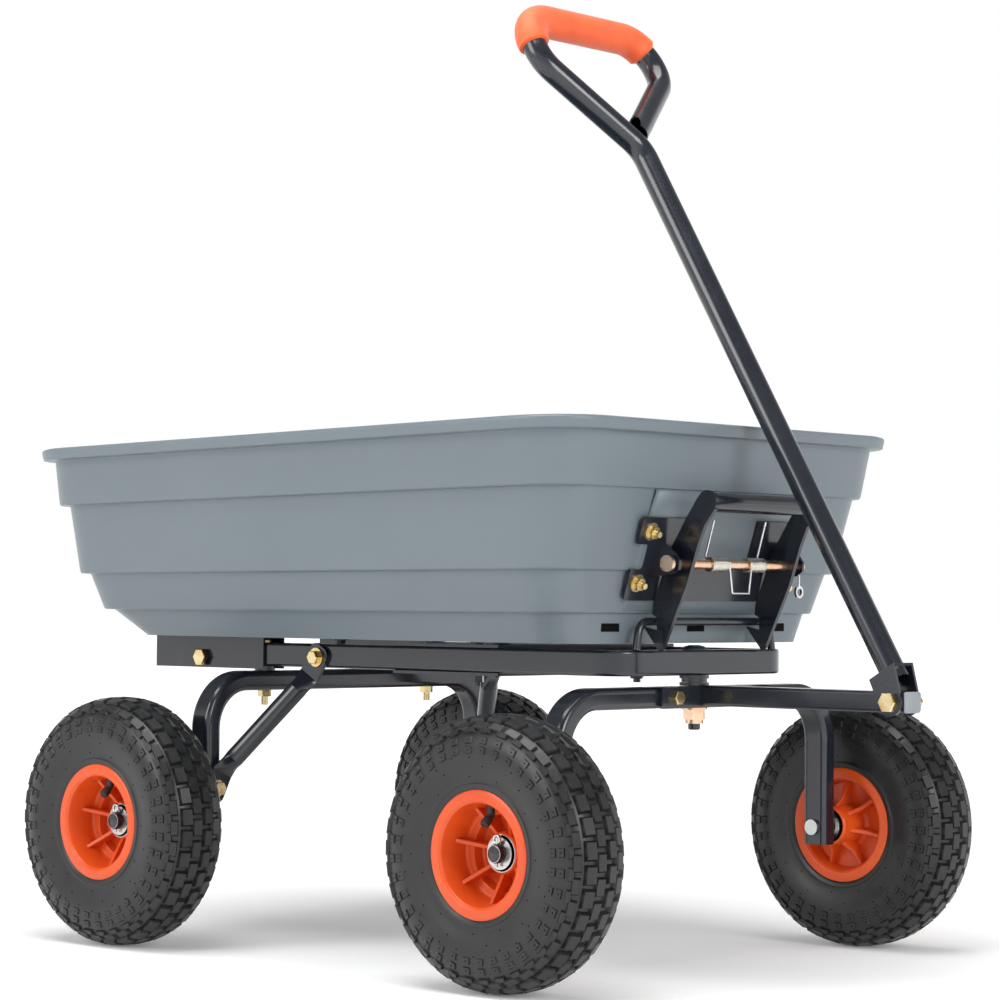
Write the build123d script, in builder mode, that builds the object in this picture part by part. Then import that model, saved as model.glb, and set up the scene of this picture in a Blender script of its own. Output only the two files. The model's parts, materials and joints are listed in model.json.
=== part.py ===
"""Four-wheeled garden dump cart: poly tub, tubular frame, steered front axle, pull handle.

Millimetres, +X forwards, +Y to the cart's left, +Z up, ground at z = 0.
The origin is the centre of the cart's footprint box.
"""
from build123d import *
from math import cos, radians, sin
import os

# ---- driving dimensions --------------------------------------------------------------------
REAR_AXLE_X = -308.0
WHEELBASE = 541.0
TRACK = 560.0
FRONT_AXLE_X = REAR_AXLE_X + WHEELBASE

# wheels: 4.10/3.50-4 pneumatic tyre on an offset-hub rim
TYRE_R = 129.0
TYRE_HALF_W = 39.0
TYRE_WALL = 6.0
RIM_R = 50.0
RIM_WALL = 3.5
FLANGE_R = 60.0
FLANGE_Y = 34.0
FLANGE_T = 3.0
HUB_R = 20.0
HUB_IN_Y = -54.0
HUB_OUT_Y = 2.0
RIB_COUNT = 7
AXLE_R = 8.0
AXLE_Z = TYRE_R
AXLE_TIP_Y = 292.0
BEARING_R = 17.5
BEARING_W = 11.0
RUNNING_GAP = 0.05

# frame loop and arches
TUBE = 25.0
TUBE_WALL = 1.6
RAIL_Y = 125.0
RAIL_Z = 302.5
RAIL_REAR_X = REAR_AXLE_X - 42.0
CROSSPIECE_X = REAR_AXLE_X + 546.5
CORNER_R = 22.0
ARCH_W = 28.0
ARCH_H = 21.0
ARCH_LEG_Y = 208.5
ARCH_BEND_R = 49.5
REAR_ARCH_X = REAR_AXLE_X + 50.0
REAR_ARCH_Z = 274.5
REAR_LEG_Z = 103.0
FRONT_ARCH_Z = 268.5
FRONT_LEG_Z = 111.0
LEG_OUT_Y = ARCH_LEG_Y + ARCH_H / 2
PLATE_T = 4.0

# tub: rim outline and the ledges below it, each (z, rear x, front x, half width)
TUB_WALL = 4.0
RIM_Z = 528.0
RIM_SLOPE = 1.0
LIP = 13.0
RIM_REAR_X = REAR_AXLE_X - 190.0
RIM_FRONT_X = REAR_AXLE_X + 608.0
RIM_HALF_Y = 277.0
TUB_BOTTOM_Z = 321.5
TIERS = [
    (350.0, -132.0, 543.0, 206.0),
    (390.0, -150.0, 557.0, 228.0),
    (466.0, -168.0, 582.0, 246.0),
]
BOTTOM = (TUB_BOTTOM_Z, -92.0, 541.0, 192.0)
LEDGE = 8.0
DUMP_X = REAR_AXLE_X - 32.0
DUMP_Z = 298.0

# tongue, handle and release
TONGUE_Z = 270.0
TONGUE_H = 20.0
TONGUE_END_X = REAR_AXLE_X + 801.5
PULL_X = REAR_AXLE_X + 788.0
LEAN = 30.8
HANDLE_R = 12.5
HANDLE_WALL = 1.8
HANDLE_OFFSET = 7.7
CLEVIS_TOP = 30.0
LOOP_LEFT = -98.0
LOOP_RIGHT = 92.0
LOOP_TOP = 790.0
LOOP_R = 36.0
FORK_S = 638.0
LEG_MEET_S = 654.0
GRIP_R = 16.5
ROD_X = REAR_AXLE_X + 592.0
ROD_Z = 399.0
ARM_Y = 81.0
ARM_T = 4.5
GRAB_X = REAR_AXLE_X + 622.0
GRAB_Z = 458.0
LATCH_X = REAR_AXLE_X + 555.0
LATCH_Z = 343.0
LATCH_R = 4.0

# fasteners
M10_R = 5.0
M8_R = 4.0
M6_R = 3.0
KINGPIN_R = 6.0

os.makedirs("parts", exist_ok=True)


def save(builder, label):
    builder.part.label = label
    export_step(builder.part, f"parts/{label}.step")


def outward_plane(x, y, z):
    """Plane facing away from the cart's centre line, to the side that y is on."""
    return Plane(origin=(x, y, z), x_dir=(1, 0, 0), z_dir=(0, 1 if y > 0 else -1, 0))


def front_plane(x, y, z):
    """Plane facing +X, its x along +Y and its y along +Z."""
    return Plane(origin=(x, y, z), x_dir=(0, 1, 0), z_dir=(1, 0, 0))


def hex_bolt(radius, grip, across_flats, head_h, washer_r=0.0, nut=True, tail=6.0):
    """Bolt standing on XY: head above z = 0, shank down through the grip, nut below."""
    washer_t = 1.6 if washer_r else 0.0
    nut_h = radius * 1.7
    with BuildPart() as bolt:
        with BuildSketch(Plane.XY.offset(washer_t)):
            RegularPolygon(across_flats / 2, 6, major_radius=False)
        extrude(amount=head_h)
        chamfer(bolt.faces().sort_by(Axis.Z)[-1].edges(), radius * 0.16)
        with BuildSketch(Plane.XY.offset(washer_t)):
            Circle(radius)
        extrude(amount=-(grip + washer_t + (nut_h + tail if nut else tail)))
        if washer_r:
            with BuildSketch():
                Circle(washer_r)
            extrude(amount=washer_t)
        if nut:
            with BuildSketch(Plane.XY.offset(-grip)):
                RegularPolygon(across_flats / 2, 6, major_radius=False)
            extrude(amount=-nut_h)
            chamfer(bolt.faces().sort_by(Axis.Z)[0].edges(), radius * 0.08)
    return bolt.part


def bent_tube(path_points, corner_r, plane, start_plane, width, height, radius, wall):
    """Rectangular tube swept along straight runs joined by bends."""
    with BuildPart() as tube:
        with BuildLine(plane) as path:
            FilletPolyline(*path_points, radius=corner_r)
        with BuildSketch(start_plane):
            RectangleRounded(width, height, radius)
            RectangleRounded(width - 2 * wall, height - 2 * wall, radius - wall,
                             mode=Mode.SUBTRACT)
        sweep(path=path.wires()[0])
    return tube.part


def round_sweep(points, corner_r, radius, inner=0.0, plane=Plane.XY):
    """Round bar or tube along straight runs joined by bends."""
    with BuildPart() as bar:
        with BuildLine(plane) as path:
            FilletPolyline(*points, radius=corner_r)
        route = path.wires()[0]
        with BuildSketch(Plane(origin=route @ 0, z_dir=route % 0)):
            Circle(radius)
            if inner:
                Circle(inner, mode=Mode.SUBTRACT)
        sweep(path=route)
    return bar.part


# ---- wheels --------------------------------------------------------------------------------
WHEELS = {
    "front_right": (FRONT_AXLE_X, -1),
    "front_left": (FRONT_AXLE_X, 1),
    "rear_right": (REAR_AXLE_X, -1),
    "rear_left": (REAR_AXLE_X, 1),
}

# Each wheel piece is made round a vertical axis, outer side up, then laid on its axle.
bead_x = RIM_R
side_z = FLANGE_Y - FLANGE_T
shoulder_r = TYRE_R - 8.0
with BuildPart() as tyre:
    with BuildSketch(Plane.XZ) as tyre_section:
        with BuildLine():
            Line((bead_x, -side_z), (FLANGE_R + 1, -side_z))
            ThreePointArc((FLANGE_R + 1, -side_z), (94, -TYRE_HALF_W), (shoulder_r, -33))
            ThreePointArc((shoulder_r, -33), (TYRE_R, 0), (shoulder_r, 33))
            ThreePointArc((shoulder_r, 33), (94, TYRE_HALF_W), (FLANGE_R + 1, side_z))
            Line((FLANGE_R + 1, side_z), (bead_x, side_z))
            Line((bead_x, side_z), (bead_x, side_z - TYRE_WALL))
            Line((bead_x, side_z - TYRE_WALL), (FLANGE_R + 3, side_z - TYRE_WALL))
            ThreePointArc((FLANGE_R + 3, side_z - TYRE_WALL), (94, TYRE_HALF_W - TYRE_WALL),
                          (shoulder_r - 9, 27))
            ThreePointArc((shoulder_r - 9, 27), (TYRE_R - 11, 0), (shoulder_r - 9, -27))
            ThreePointArc((shoulder_r - 9, -27), (94, TYRE_WALL - TYRE_HALF_W),
                          (FLANGE_R + 3, TYRE_WALL - side_z))
            Line((FLANGE_R + 3, TYRE_WALL - side_z), (bead_x, TYRE_WALL - side_z))
            Line((bead_x, TYRE_WALL - side_z), (bead_x, -side_z))
        make_face()
    revolve(axis=Axis.Z)

with BuildPart() as rim:
    with BuildSketch(Plane.XZ) as rim_section:
        with BuildLine():
            Polyline(
                (AXLE_R + 3, HUB_IN_Y), (HUB_R, HUB_IN_Y), (HUB_R, -6),
                (RIM_R - RIM_WALL, -6), (RIM_R - RIM_WALL, -FLANGE_Y), (FLANGE_R, -FLANGE_Y),
                (FLANGE_R, FLANGE_T - FLANGE_Y), (RIM_R, FLANGE_T - FLANGE_Y),
                (RIM_R, FLANGE_Y - FLANGE_T), (FLANGE_R, FLANGE_Y - FLANGE_T),
                (FLANGE_R, FLANGE_Y), (RIM_R - RIM_WALL, FLANGE_Y), (RIM_R - RIM_WALL, -2),
                (HUB_R, -2), (HUB_R, HUB_OUT_Y), (AXLE_R + 3, HUB_OUT_Y), close=True)
        make_face()
    revolve(axis=Axis.Z)
    with BuildSketch(Plane.XY.offset(-2)):
        with PolarLocations((HUB_R + RIM_R) / 2 - 1, RIB_COUNT):
            Rectangle(RIM_R - HUB_R, 5)
    extrude(amount=14)
    with BuildSketch(Plane.XY.offset(-6)):
        with PolarLocations((HUB_R + RIM_R) / 2 - 1, RIB_COUNT):
            Rectangle(RIM_R - HUB_R, 5)
    extrude(amount=-22)
    for start, depth in ((HUB_OUT_Y, -BEARING_W), (HUB_IN_Y, BEARING_W)):
        with BuildSketch(Plane.XY.offset(start)):
            Circle(BEARING_R)
        extrude(amount=depth, mode=Mode.SUBTRACT)

with BuildPart() as bearings:
    for start, depth in ((HUB_OUT_Y, -BEARING_W), (HUB_IN_Y, BEARING_W)):
        with BuildSketch(Plane.XY.offset(start)):
            Circle(BEARING_R)
            Circle(AXLE_R + RUNNING_GAP, mode=Mode.SUBTRACT)
        extrude(amount=depth)

valve_r = 4.5
with BuildPart() as valve:
    with BuildLine(Plane.YZ) as valve_path:
        FilletPolyline((RIM_R - RIM_WALL - 0.2, 18), (RIM_R - 14, 18), (RIM_R - 24, 30),
                       radius=6)
    valve_route = valve_path.wires()[0]
    with BuildSketch(Plane(origin=valve_route @ 0, z_dir=valve_route % 0)):
        Circle(valve_r)
    sweep(path=valve_route)

for name, (axle_x, side) in WHEELS.items():
    hub_plane = Plane(origin=(axle_x, side * TRACK / 2, AXLE_Z), x_dir=(1, 0, 0),
                      z_dir=(0, side, 0))
    for kind, piece in (("tyre", tyre), ("rim", rim), ("bearings", bearings),
                        ("valve_stem", valve)):
        with BuildPart() as placed:
            with Locations(hub_plane.location):
                add(piece.part)
        save(placed, f"{kind}_{name}")

# ---- frame loop, cross plate and latch bar -------------------------------------------------
loop_points = [
    (RAIL_REAR_X, -RAIL_Y), (CROSSPIECE_X, -RAIL_Y),
    (CROSSPIECE_X, RAIL_Y), (RAIL_REAR_X, RAIL_Y),
]
frame_loop = bent_tube(
    loop_points, CORNER_R, Plane.XY.offset(RAIL_Z),
    Plane(origin=(RAIL_REAR_X, -RAIL_Y, RAIL_Z), x_dir=(0, 1, 0), z_dir=(1, 0, 0)),
    TUBE, TUBE, 3.0, TUBE_WALL)
rail_out_y = RAIL_Y + TUBE / 2
rail_bottom_z = RAIL_Z - TUBE / 2
rail_top_z = RAIL_Z + TUBE / 2
brace_top = (REAR_AXLE_X + 147.0, rail_out_y, 301.0)
PLATE_REAR_X = REAR_AXLE_X + 256.0
PLATE_FRONT_X = REAR_AXLE_X + 402.0
SHEET = 3.0
plate_bolt_x = PLATE_FRONT_X - 40.0
with BuildPart() as frame_tube:
    add(frame_loop)
    with Locations(Plane.XZ.location):
        with Locations((DUMP_X, DUMP_Z, 0)):
            Hole(M10_R + RUNNING_GAP, depth=RAIL_Y * 3)
        with Locations((brace_top[0], brace_top[2], 0)):
            Hole(M8_R, depth=RAIL_Y * 3)
    for y in (-RAIL_Y, RAIL_Y):
        for x in (REAR_ARCH_X, plate_bolt_x):
            with Locations((x, y, RAIL_Z)):
                Cylinder(M8_R, TUBE * 2, mode=Mode.SUBTRACT)
    with Locations((FRONT_AXLE_X, 0, RAIL_Z)):
        Cylinder(KINGPIN_R, TUBE * 2, mode=Mode.SUBTRACT)
save(frame_tube, "frame_tube")

with BuildPart() as cross_plate:
    with BuildSketch(Plane.XZ.offset(-rail_out_y)):
        plate_mid_x = (PLATE_REAR_X + PLATE_FRONT_X) / 2
        with Locations((plate_mid_x, rail_bottom_z - SHEET / 2),
                       (plate_mid_x, rail_top_z + SHEET / 2)):
            Rectangle(PLATE_FRONT_X - PLATE_REAR_X, SHEET)
    extrude(amount=2 * rail_out_y)
    with BuildSketch(Plane.YZ.offset(PLATE_FRONT_X - SHEET)):
        with Locations((0, RAIL_Z)):
            Rectangle(2 * (rail_out_y - TUBE) - 0.4, TUBE + SHEET)
    extrude(amount=SHEET)
    for y in (-RAIL_Y, RAIL_Y):
        with Locations((plate_bolt_x, y, RAIL_Z)):
            Cylinder(M8_R, TUBE * 2, mode=Mode.SUBTRACT)
save(cross_plate, "cross_plate")

plate_bolt = hex_bolt(M8_R, TUBE + 2 * SHEET, 13.0, 2.6, nut=True, tail=4.0)
with BuildPart() as cross_plate_bolts:
    with Locations(*[(plate_bolt_x, y, rail_top_z + SHEET) for y in (-RAIL_Y, RAIL_Y)]):
        add(plate_bolt)
save(cross_plate_bolts, "cross_plate_bolts")

latch_leg_y = 107.0
latch_bar_part = round_sweep(
    [(-latch_leg_y, rail_top_z), (-latch_leg_y + 5, LATCH_Z), (latch_leg_y - 5, LATCH_Z),
     (latch_leg_y, rail_top_z)],
    14.0, LATCH_R, plane=Plane.YZ.offset(LATCH_X))
with BuildPart() as latch_bar:
    add(latch_bar_part)
    split(bisect_by=Plane.XY.offset(rail_top_z), keep=Keep.TOP)
save(latch_bar, "latch_bar")

# ---- arches, axle stubs, washers and cotter pins -------------------------------------------
BRACE_BOLT_Z = 163.0


def arch(x, z, leg_z):
    """Inverted U of flattened tube across the cart."""
    points = [(-ARCH_LEG_Y, leg_z), (-ARCH_LEG_Y, z), (ARCH_LEG_Y, z), (ARCH_LEG_Y, leg_z)]
    start = Plane(origin=(x, -ARCH_LEG_Y, leg_z), x_dir=(1, 0, 0), z_dir=(0, 0, 1))
    return bent_tube(points, ARCH_BEND_R, Plane.YZ.offset(x), start, ARCH_W, ARCH_H, 6.0,
                     TUBE_WALL + 0.4)


rear_arch_raw = arch(REAR_ARCH_X, REAR_ARCH_Z, REAR_LEG_Z)
with BuildPart() as rear_arch:
    add(rear_arch_raw)
    for side in (-1, 1):
        with Locations((REAR_ARCH_X, side * RAIL_Y, REAR_ARCH_Z)):
            Cylinder(M8_R, TUBE * 2, mode=Mode.SUBTRACT)
        with Locations((REAR_ARCH_X, side * ARCH_LEG_Y, BRACE_BOLT_Z)):
            Cylinder(M8_R, TUBE * 2, rotation=(0, 90, 0), mode=Mode.SUBTRACT)
save(rear_arch, "rear_arch")

SADDLE_T = 4.0
SADDLE_BOLT_Y = 50.0
arch_front_x = FRONT_AXLE_X + ARCH_W / 2
front_arch_raw = arch(FRONT_AXLE_X, FRONT_ARCH_Z, FRONT_LEG_Z)
with BuildPart() as front_arch:
    add(front_arch_raw)
    with Locations((FRONT_AXLE_X, 0, FRONT_ARCH_Z)):
        Cylinder(KINGPIN_R + RUNNING_GAP, TUBE * 2, mode=Mode.SUBTRACT)
    for side in (-1, 1):
        with Locations((FRONT_AXLE_X, side * SADDLE_BOLT_Y, FRONT_ARCH_Z)):
            Cylinder(M8_R, TUBE * 2, rotation=(0, 90, 0), mode=Mode.SUBTRACT)
        with Locations((FRONT_AXLE_X, side * ARCH_LEG_Y, AXLE_Z)):
            Cylinder(AXLE_R, TUBE * 2, rotation=(90, 0, 0), mode=Mode.SUBTRACT)
save(front_arch, "front_arch")

with BuildPart() as rear_axle_plates:
    for side in (-1, 1):
        with BuildSketch(outward_plane(REAR_AXLE_X, side * LEG_OUT_Y, AXLE_Z)):
            with Locations((20, 0)):
                RectangleRounded(84, 44, 10)
            Circle(AXLE_R, mode=Mode.SUBTRACT)
        extrude(amount=PLATE_T)
save(rear_axle_plates, "rear_axle_plates")

COTTER_Y = 288.0
COTTER_R = 1.6


def axle_stubs(x, inner_y, collar):
    """A pair of stub axles, cross-drilled for their cotter pins."""
    with BuildPart() as stubs:
        for side in (-1, 1):
            with BuildSketch(outward_plane(x, side * inner_y, AXLE_Z)):
                Circle(AXLE_R)
            extrude(amount=AXLE_TIP_Y - inner_y)
            if collar:
                with BuildSketch(outward_plane(x, side * LEG_OUT_Y, AXLE_Z)):
                    Circle(AXLE_R + 5)
                extrude(amount=PLATE_T)
            with Locations((x, side * COTTER_Y, AXLE_Z)):
                Cylinder(COTTER_R + 0.1, AXLE_R * 3, mode=Mode.SUBTRACT)
    return stubs


save(axle_stubs(REAR_AXLE_X, LEG_OUT_Y - 3, False), "rear_axle_stubs")
save(axle_stubs(FRONT_AXLE_X, LEG_OUT_Y - ARCH_H - 4, True), "front_axle_stubs")

WASHER_R = 15.0
washer_spans = ((LEG_OUT_Y + PLATE_T + 0.3, 2.4), (TRACK / 2 + HUB_OUT_Y + 0.3, 2.0))
for end, axle_x in (("rear", REAR_AXLE_X), ("front", FRONT_AXLE_X)):
    with BuildPart() as axle_washers:
        for side in (-1, 1):
            for start_y, thickness in washer_spans:
                with BuildSketch(outward_plane(axle_x, side * start_y, AXLE_Z)):
                    Circle(WASHER_R)
                    Circle(AXLE_R + 0.15, mode=Mode.SUBTRACT)
                extrude(amount=thickness)
    save(axle_washers, f"{end}_axle_washers")
    with BuildPart() as cotter_pins:
        for side in (-1, 1):
            with Locations((axle_x, side * COTTER_Y, AXLE_Z)):
                Cylinder(COTTER_R, AXLE_R * 2 + 8)
            with Locations((axle_x, side * COTTER_Y, AXLE_Z + AXLE_R + 5.3)):
                Torus(3.6, COTTER_R * 0.9, rotation=(90, 0, 0))
    save(cotter_pins, f"{end}_cotter_pins")

# ---- rear arch bolts and braces ------------------------------------------------------------
spacer_h = rail_bottom_z - (REAR_ARCH_Z + ARCH_H / 2)
arch_bolt = hex_bolt(M8_R, TUBE + spacer_h + ARCH_H, 13.0, 3.0, tail=9.0)
with BuildPart() as arch_bolts:
    with Locations(*[(REAR_ARCH_X, y, rail_top_z) for y in (-RAIL_Y, RAIL_Y)]):
        add(arch_bolt)
save(arch_bolts, "arch_bolts")

with BuildPart() as arch_spacers:
    with BuildSketch(Plane.XY.offset(rail_bottom_z)):
        with Locations((REAR_ARCH_X, -RAIL_Y), (REAR_ARCH_X, RAIL_Y)):
            Circle(11.0)
            Circle(M8_R, mode=Mode.SUBTRACT)
    extrude(amount=-spacer_h)
save(arch_spacers, "arch_spacers")

BRACE_R = 10.0
TAB_W = 27.0
TAB_T = 4.0
arch_face_x = REAR_ARCH_X + ARCH_W / 2
top_tab = Vector(brace_top[0], rail_out_y + TAB_T / 2, brace_top[2])
bottom_tab = Vector(arch_face_x + TAB_T / 2, ARCH_LEG_Y, BRACE_BOLT_Z)
run = (bottom_tab - top_tab).normalized()
tab_dir_top = Vector(run.X, 0, run.Z).normalized()
tab_dir_bottom = Vector(0, run.Y, run.Z).normalized()
top_end = top_tab + tab_dir_top * 22
bottom_end = bottom_tab - tab_dir_bottom * 18
tube_dir = (bottom_end - top_end).normalized()
tube_start = top_end + tube_dir * 20
tube_end = bottom_end - tube_dir * 20


def brace_part():
    """Left brace: round tube whose flattened ends bolt to the rail and to the arch leg."""
    top_width_dir = Vector(0, 1, 0).cross(tab_dir_top)
    bottom_width_dir = Vector(1, 0, 0).cross(tab_dir_bottom)
    with BuildPart() as brace:
        with BuildSketch(Plane(origin=top_tab - Vector(0, TAB_T / 2, 0), x_dir=tab_dir_top,
                               z_dir=(0, 1, 0))):
            with Locations((11 - TAB_W / 4, 0)):
                RectangleRounded(22 + TAB_W / 2, TAB_W, 9)
            with Locations((16, 0)):
                Rectangle(12, TAB_W)
        extrude(amount=TAB_T)
        with BuildSketch(Plane(origin=bottom_tab - Vector(TAB_T / 2, 0, 0),
                               x_dir=tab_dir_bottom * -1, z_dir=(1, 0, 0))):
            with Locations((9 - TAB_W / 4, 0)):
                RectangleRounded(18 + TAB_W / 2, TAB_W, 9)
            with Locations((12, 0)):
                Rectangle(12, TAB_W)
        extrude(amount=TAB_T)
        with BuildSketch(Plane(origin=top_end, x_dir=top_width_dir, z_dir=tab_dir_top)):
            Rectangle(TAB_W, TAB_T)
        with BuildSketch(Plane(origin=tube_start, x_dir=top_width_dir, z_dir=tube_dir)):
            RectangleRounded(2 * BRACE_R, 2 * BRACE_R, BRACE_R - 0.5)
        loft()
        with BuildSketch(Plane(origin=tube_start, x_dir=top_width_dir, z_dir=tube_dir)):
            RectangleRounded(2 * BRACE_R, 2 * BRACE_R, BRACE_R - 0.5)
        extrude(amount=(tube_end - tube_start).length)
        with BuildSketch(Plane(origin=tube_end, x_dir=bottom_width_dir, z_dir=tube_dir)):
            RectangleRounded(2 * BRACE_R, 2 * BRACE_R, BRACE_R - 0.5)
        with BuildSketch(Plane(origin=bottom_end, x_dir=bottom_width_dir,
                               z_dir=tab_dir_bottom)):
            Rectangle(TAB_W, TAB_T)
        loft()
        with Locations((brace_top[0], top_tab.Y, brace_top[2])):
            Cylinder(M8_R, TUBE, rotation=(90, 0, 0), mode=Mode.SUBTRACT)
        with Locations((bottom_tab.X, ARCH_LEG_Y, BRACE_BOLT_Z)):
            Cylinder(M8_R, TUBE, rotation=(0, 90, 0), mode=Mode.SUBTRACT)
    return brace.part


left_brace = brace_part()
with BuildPart() as braces:
    add(left_brace)
    mirror(about=Plane.XZ)
save(braces, "braces")

rail_brace_bolt = hex_bolt(M8_R, TUBE + TAB_T, 13.0, 6.0, washer_r=10.0, tail=3.0)
leg_brace_bolt = hex_bolt(M8_R, ARCH_W + TAB_T, 13.0, 6.0, washer_r=9.0, tail=3.0)
with BuildPart() as brace_bolts:
    for side in (-1, 1):
        with Locations(outward_plane(brace_top[0], side * (rail_out_y + TAB_T),
                                     brace_top[2]).location):
            add(rail_brace_bolt)
        with Locations(front_plane(arch_face_x + TAB_T, side * ARCH_LEG_Y,
                                   BRACE_BOLT_Z).location):
            add(leg_brace_bolt)
save(brace_bolts, "brace_bolts")

# ---- kingpin and front axle ----------------------------------------------------------------
arch_top_z = FRONT_ARCH_Z + ARCH_H / 2
arch_bottom_z = FRONT_ARCH_Z - ARCH_H / 2
KINGPIN_NUT_H = 16.0
KINGPIN_HEAD_H = 4.5
kingpin_tip_z = arch_bottom_z - 0.5 - KINGPIN_NUT_H - 6
with BuildPart() as kingpin:
    with BuildSketch(Plane.XZ) as kingpin_section:
        with BuildLine():
            Polyline((0, kingpin_tip_z), (KINGPIN_R - 1, kingpin_tip_z),
                     (KINGPIN_R, kingpin_tip_z + 1), (KINGPIN_R, rail_top_z),
                     (13, rail_top_z), (13, rail_top_z + 1), (10, rail_top_z + 3.2),
                     (5, rail_top_z + KINGPIN_HEAD_H), (0, rail_top_z + KINGPIN_HEAD_H),
                     close=True)
        make_face()
    revolve(axis=Axis.Z)
with BuildPart() as kingpin_placed:
    with Locations((FRONT_AXLE_X, 0, 0)):
        add(kingpin.part)
save(kingpin_placed, "kingpin")

# Three thrust washers fill the space between the crosspiece and the arch.
stack_h = rail_bottom_z - arch_top_z
washer_h = (stack_h - 4 * 0.3) / 3
with BuildPart() as thrust_washers:
    for level, outer_r in enumerate((15.0, 13.0, 15.0)):
        base_z = arch_top_z + 0.3 + level * (washer_h + 0.3)
        with BuildSketch(Plane(origin=(FRONT_AXLE_X, 0, base_z))):
            Circle(outer_r)
            Circle(KINGPIN_R + 0.2, mode=Mode.SUBTRACT)
        extrude(amount=washer_h)
save(thrust_washers, "thrust_washers")

with BuildPart() as kingpin_nut:
    with BuildSketch(Plane(origin=(FRONT_AXLE_X, 0, arch_bottom_z - 0.3))):
        Circle(13.0)
        Circle(KINGPIN_R, mode=Mode.SUBTRACT)
    extrude(amount=-2)
    with BuildSketch(Plane(origin=(FRONT_AXLE_X, 0, arch_bottom_z - 2.3))):
        RegularPolygon(10.0, 6, major_radius=False)
        Circle(KINGPIN_R, mode=Mode.SUBTRACT)
    extrude(amount=-10)
    with BuildSketch(Plane(origin=(FRONT_AXLE_X, 0, arch_bottom_z - 12.3))):
        Circle(9.0)
        Circle(KINGPIN_R, mode=Mode.SUBTRACT)
    extrude(amount=2 + 10 - KINGPIN_NUT_H)
save(kingpin_nut, "kingpin_nut")

# Saddle plate hugging the arch front, with the tongue welded to it.
saddle_x = arch_front_x + 0.2
with BuildPart() as tongue:
    with BuildSketch(Plane.YZ.offset(saddle_x)):
        with Locations((0, FRONT_ARCH_Z)):
            RectangleRounded(144, ARCH_H, 3)
        with Locations((-SADDLE_BOLT_Y, FRONT_ARCH_Z), (SADDLE_BOLT_Y, FRONT_ARCH_Z)):
            Circle(M8_R, mode=Mode.SUBTRACT)
    extrude(amount=SADDLE_T)
    with BuildSketch(Plane.YZ.offset(saddle_x + SADDLE_T)):
        with Locations((0, TONGUE_Z)):
            RectangleRounded(TUBE, TONGUE_H, 3.0)
            RectangleRounded(TUBE - 2 * TUBE_WALL, TONGUE_H - 2 * TUBE_WALL, 1.4,
                             mode=Mode.SUBTRACT)
    extrude(amount=TONGUE_END_X - saddle_x - SADDLE_T)
    with Locations((PULL_X, 0, TONGUE_Z)):
        Cylinder(M10_R + RUNNING_GAP, TUBE * 2, rotation=(90, 0, 0), mode=Mode.SUBTRACT)
save(tongue, "tongue")

saddle_bolt = hex_bolt(M8_R, SADDLE_T + ARCH_W + 0.2, 13.0, 5.5, tail=3.0)
with BuildPart() as saddle_bolts:
    for side in (-1, 1):
        with Locations(front_plane(saddle_x + SADDLE_T, side * SADDLE_BOLT_Y,
                                   FRONT_ARCH_Z).location):
            add(saddle_bolt)
save(saddle_bolts, "saddle_bolts")

with BuildPart() as tongue_plug:
    with BuildSketch(Plane.YZ.offset(TONGUE_END_X)):
        with Locations((0, TONGUE_Z)):
            RectangleRounded(TUBE, TONGUE_H, 3.0)
    extrude(amount=2.5)
    fillet(tongue_plug.faces().sort_by(Axis.X)[-1].edges(), 1.6)
    with BuildSketch(Plane.YZ.offset(TONGUE_END_X)):
        with Locations((0, TONGUE_Z)):
            RectangleRounded(TUBE - 2 * TUBE_WALL - 0.2, TONGUE_H - 2 * TUBE_WALL - 0.2, 1.2)
    extrude(amount=-6)
save(tongue_plug, "tongue_plug")

# ---- pull handle ---------------------------------------------------------------------------
# Handle plane: local x along the handle, away from the pivot, and local y along +Y.
up = Vector(-sin(radians(LEAN)), 0, cos(radians(LEAN)))
ahead = Vector(cos(radians(LEAN)), 0, sin(radians(LEAN)))
pivot = Vector(PULL_X, 0, TONGUE_Z)
handle_foot = pivot + ahead * HANDLE_OFFSET
handle_plane = Plane(origin=handle_foot, x_dir=up, z_dir=ahead * -1)
TUBE_START = CLEVIS_TOP - SHEET - 8
side_sign = 1 if handle_plane.y_dir.Y > 0 else -1
# The loop's side leg meets the straight tube here, and stops on its axis.
meet = (LEG_MEET_S, 0.0)
leg_top = (LEG_MEET_S + 82, side_sign * LOOP_RIGHT)
leg_foot = (LEG_MEET_S + 16, side_sign * 18)
loop_path = [
    (TUBE_START, 0), (FORK_S, 0), (FORK_S + 95, side_sign * LOOP_LEFT),
    (LOOP_TOP, side_sign * LOOP_LEFT), (LOOP_TOP, side_sign * LOOP_RIGHT),
    leg_top, leg_foot,
]
leg_dir = (Vector(*meet, 0) - Vector(*leg_top, 0)).normalized()
leg_end = Vector(*leg_foot, 0)
handle_bar = round_sweep(loop_path, LOOP_R, HANDLE_R, HANDLE_R - HANDLE_WALL, handle_plane)
leg_from = handle_plane.from_local_coords(leg_end)
leg_axis = (handle_plane.from_local_coords(leg_end + leg_dir) - leg_from).normalized()
with BuildPart() as leg_weld:
    with BuildSketch(Plane(origin=leg_from - leg_axis, z_dir=leg_axis)):
        Circle(HANDLE_R - 0.1)
        Circle(HANDLE_R - HANDLE_WALL + 0.1, mode=Mode.SUBTRACT)
    extrude(amount=22)
    with BuildSketch(Plane(origin=handle_plane.from_local_coords(Vector(600, 0, 0)), z_dir=up)):
        Circle(HANDLE_R - HANDLE_WALL / 2)
    extrude(amount=120, mode=Mode.SUBTRACT)
with BuildPart() as handle_tube:
    add(handle_bar)
    add(leg_weld.part)
save(handle_tube, "handle_tube")

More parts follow.
